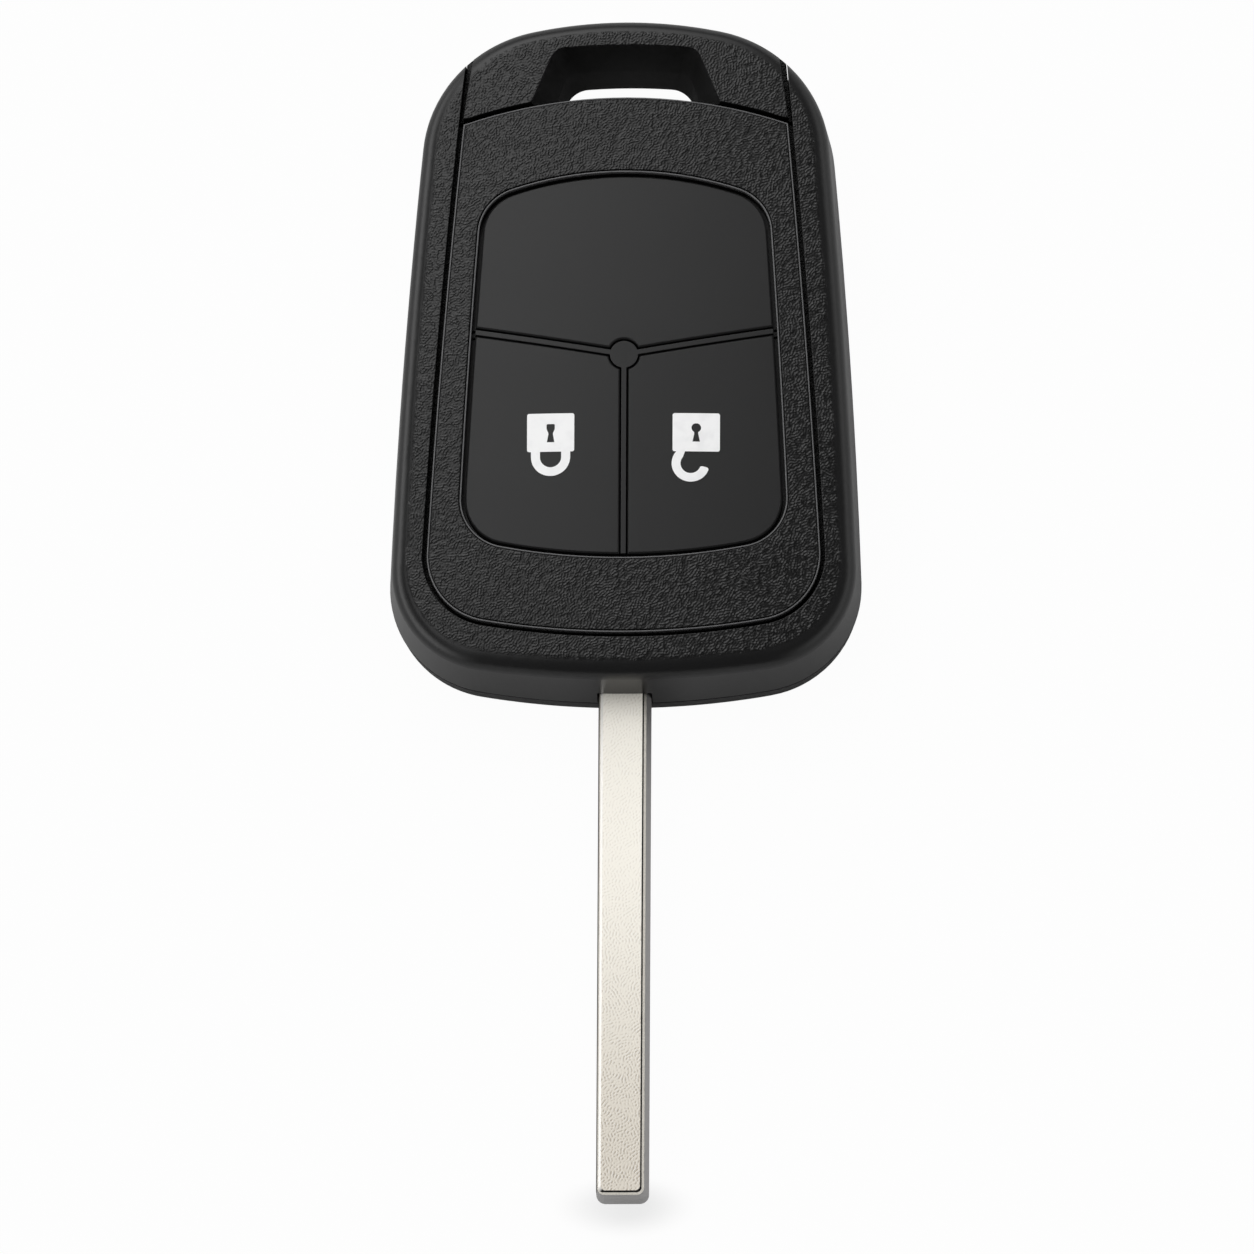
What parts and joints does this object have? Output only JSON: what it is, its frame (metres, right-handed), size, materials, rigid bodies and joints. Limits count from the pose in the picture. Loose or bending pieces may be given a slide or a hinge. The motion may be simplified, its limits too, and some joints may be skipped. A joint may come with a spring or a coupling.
{
  "type": "car key fob shell",
  "caption": "Car remote key with a crowned fob case, a three-field keypad with lock and unlock buttons, a key ring slot and a fixed uncut straight blade.",
  "frame": {"origin": "under the middle of the whole key's box, on the plane that its flat back lies on", "axes": "+X to the right of the keypad, +Y from the blade towards the key ring slot, +Z out of the buttons; the key lies on its back"},
  "size_m": [0.0378, 0.0979, 0.0122],
  "materials": {
    "case_plastic": "black ABS with a fine leather grain",
    "rear_plastic": "black ABS with a fine spark-eroded grain",
    "keypad_plastic": "smooth satin black",
    "sign_print": "white print of the two padlock signs",
    "silicone": "dark silicone rubber",
    "board": "green solder mask",
    "chip_black": "moulded epoxy",
    "switch_steel": "stamped steel cover",
    "contact_metal": "nickel plated spring strip",
    "cell_steel": "nickel plated can",
    "coil_wire": "enamelled copper winding",
    "blade_metal": "satin nickel with a sandy grain"
  },
  "bodies": {
    "case": {"front_frame": "case_plastic", "front_cover": "case_plastic", "key_ring_hoop": "case_plastic", "rear_case": "rear_plastic", "cover_seal": "silicone", "blank_panel": "keypad_plastic", "keypad_frame": "keypad_plastic", "keypad_mat": "silicone", "circuit_board": "board", "lock_switch": "switch_steel", "unlock_switch": "switch_steel", "coin_cell": "cell_steel", "battery_contact_negative": "contact_metal", "battery_contact_positive": "contact_metal", "controller_chip": "chip_black", "crystal_can": "contact_metal", "chip_components": "chip_black", "antenna_coil": "coil_wire", "transponder_chip": "chip_black", "blade": "blade_metal", "blade_pin": "contact_metal"},
    "lock_key": {"lock_button": "keypad_plastic", "lock_switch_plunger": "chip_black"},
    "unlock_key": {"unlock_button": "keypad_plastic", "unlock_switch_plunger": "chip_black"},
    "battery_door": {"battery_cover": "rear_plastic"}
  },
  "joints": [
    {"name": "lock_press", "type": "slide", "parent": "case", "child": "lock_key", "axis": [0, 0, -1], "range_m": [0, 0.0004], "stiffness_N_per_m": 1500},
    {"name": "unlock_press", "type": "slide", "parent": "case", "child": "unlock_key", "axis": [0, 0, -1], "range_m": [0, 0.0004], "stiffness_N_per_m": 1500},
    {"name": "battery_cover_lift", "type": "slide", "parent": "case", "child": "battery_door", "axis": [0, 0, -1], "range_m": [0, 0.012]}
  ]
}
